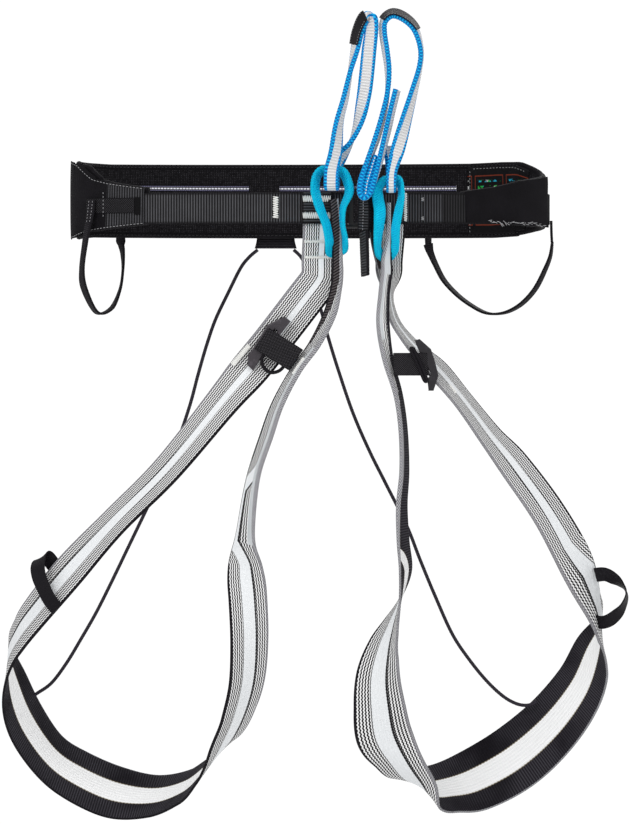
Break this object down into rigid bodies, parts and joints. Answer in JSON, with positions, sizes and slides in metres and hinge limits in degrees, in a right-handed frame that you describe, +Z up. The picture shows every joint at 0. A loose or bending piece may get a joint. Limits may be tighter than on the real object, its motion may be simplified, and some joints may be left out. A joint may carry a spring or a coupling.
{
  "type": "climbing harness",
  "caption": "Light climbing harness: padded waist belt with buckle, sling tie-in loops, gear loops, contoured leg loops with release hooks and elastic risers.",
  "frame": {"origin": "centre of the waist loop, at mid height of the waist belt", "axes": "+X to the right seen from the front, +Y towards the wearer's back, +Z up"},
  "size_m": [0.5014, 0.1904, 0.6491],
  "materials": {
    "belt_laminate": "fine woven laminate, matt",
    "black_webbing": "cross-ribbed nylon webbing",
    "mesh_patch": "coarse mesh webbing",
    "reflective_tape": "retroreflective woven stripe",
    "satin_label": "satin",
    "orange_tag": "woven tag",
    "white_thread": "bar-tack thread",
    "leg_webbing": "striped, contoured leg webbing",
    "sling_webbing": "ribbed tape with blue edges",
    "connector_webbing": "cyan tubular tape",
    "elastic_cord": "braided elastic cord",
    "gear_webbing": "narrow webbing",
    "buckle_metal": "black anodised",
    "hook_metal": "satin dark grey",
    "elastic_band": "covered elastic"
  },
  "bodies": {
    "waist_belt": {"back_panel": "belt_laminate", "wing_cover": "belt_laminate", "wing_patch": "mesh_patch", "waist_webbing": "black_webbing", "doubled_webbing": "black_webbing", "reflective_tape": "reflective_tape", "waist_label": "satin_label", "size_tag": "orange_tag", "waist_bar_tacks": "white_thread", "buckle_frame": "buckle_metal", "riser_tab": "black_webbing", "left_riser": "elastic_cord", "right_riser": "elastic_cord", "left_connector_loop": "connector_webbing", "right_connector_loop": "connector_webbing", "left_strap_anchor": "leg_webbing", "right_strap_anchor": "leg_webbing", "anchor_bar_tacks": "white_thread", "left_inner_anchor": "leg_webbing", "right_inner_anchor": "leg_webbing", "left_gear_anchor": "gear_webbing", "right_gear_anchor": "gear_webbing"},
    "buckle_slider_plate": {"buckle_slider": "buckle_metal"},
    "webbing_tail_end": {"webbing_tail": "black_webbing"},
    "left_tie_in": {"left_sling": "sling_webbing", "left_sling_label": "satin_label"},
    "right_tie_in": {"right_sling": "sling_webbing", "right_sling_label": "satin_label"},
    "left_gear": {"left_gear_loop": "gear_webbing"},
    "right_gear": {"right_gear_loop": "gear_webbing"},
    "left_leg": {"left_leg_strap": "leg_webbing", "left_label_tab": "gear_webbing", "left_leg_bar_tacks": "white_thread"},
    "right_leg": {"right_leg_strap": "leg_webbing", "right_label_tab": "gear_webbing", "right_leg_bar_tacks": "white_thread"},
    "left_release_hook": {"left_hook_band": "mesh_patch", "left_hook": "hook_metal", "left_hook_ring": "elastic_band"},
    "right_release_hook": {"right_hook_band": "mesh_patch", "right_hook": "hook_metal", "right_hook_ring": "elastic_band"}
  },
  "joints": [
    {"name": "left_leg_swing", "type": "hinge", "parent": "waist_belt", "child": "left_leg", "pos_m": [0, -0.07, -0.055], "axis": [-1, 0, 0], "range_deg": [-10, 45], "deforming": ["left_riser"]},
    {"name": "right_leg_swing", "type": "hinge", "parent": "waist_belt", "child": "right_leg", "pos_m": [0.06, -0.07, -0.055], "axis": [-1, 0, 0], "range_deg": [-10, 45], "deforming": ["right_riser"]},
    {"name": "left_hook_open", "type": "hinge", "parent": "left_leg", "child": "left_release_hook", "pos_m": [-0.01, -0.076, -0.128], "axis": [0.5822, 0, 0.8131], "range_deg": [0, 75]},
    {"name": "right_hook_open", "type": "hinge", "parent": "right_leg", "child": "right_release_hook", "pos_m": [0.064, -0.084, -0.131], "axis": [0, 0, -1], "range_deg": [0, 75]},
    {"name": "left_tie_in_fold", "type": "hinge", "parent": "waist_belt", "child": "left_tie_in", "pos_m": [0.016, -0.079, 0.023], "axis": [1, 0, 0], "range_deg": [0, 110]},
    {"name": "right_tie_in_fold", "type": "hinge", "parent": "waist_belt", "child": "right_tie_in", "pos_m": [0.063, -0.084, 0.015], "axis": [1, 0, 0], "range_deg": [0, 35]},
    {"name": "left_gear_swing", "type": "hinge", "parent": "waist_belt", "child": "left_gear", "pos_m": [-0.1773, -0.0335, -0.0165], "axis": [0.3127, 0.9278, -0.2034], "range_deg": [-10, 30]},
    {"name": "right_gear_swing", "type": "hinge", "parent": "waist_belt", "child": "right_gear", "pos_m": [0.0944, 0.0575, -0.0323], "axis": [0.8471, -0.5314, 0], "range_deg": [-10, 25]},
    {"name": "tail_swing", "type": "hinge", "parent": "waist_belt", "child": "webbing_tail_end", "pos_m": [0.042, -0.0725, -0.025], "axis": [-1, 0, 0], "range_deg": [0, 60]},
    {"name": "buckle_slide", "type": "slide", "parent": "waist_belt", "child": "buckle_slider_plate", "axis": [-1, 0, 0], "range_m": [0, 0.004]}
  ]
}
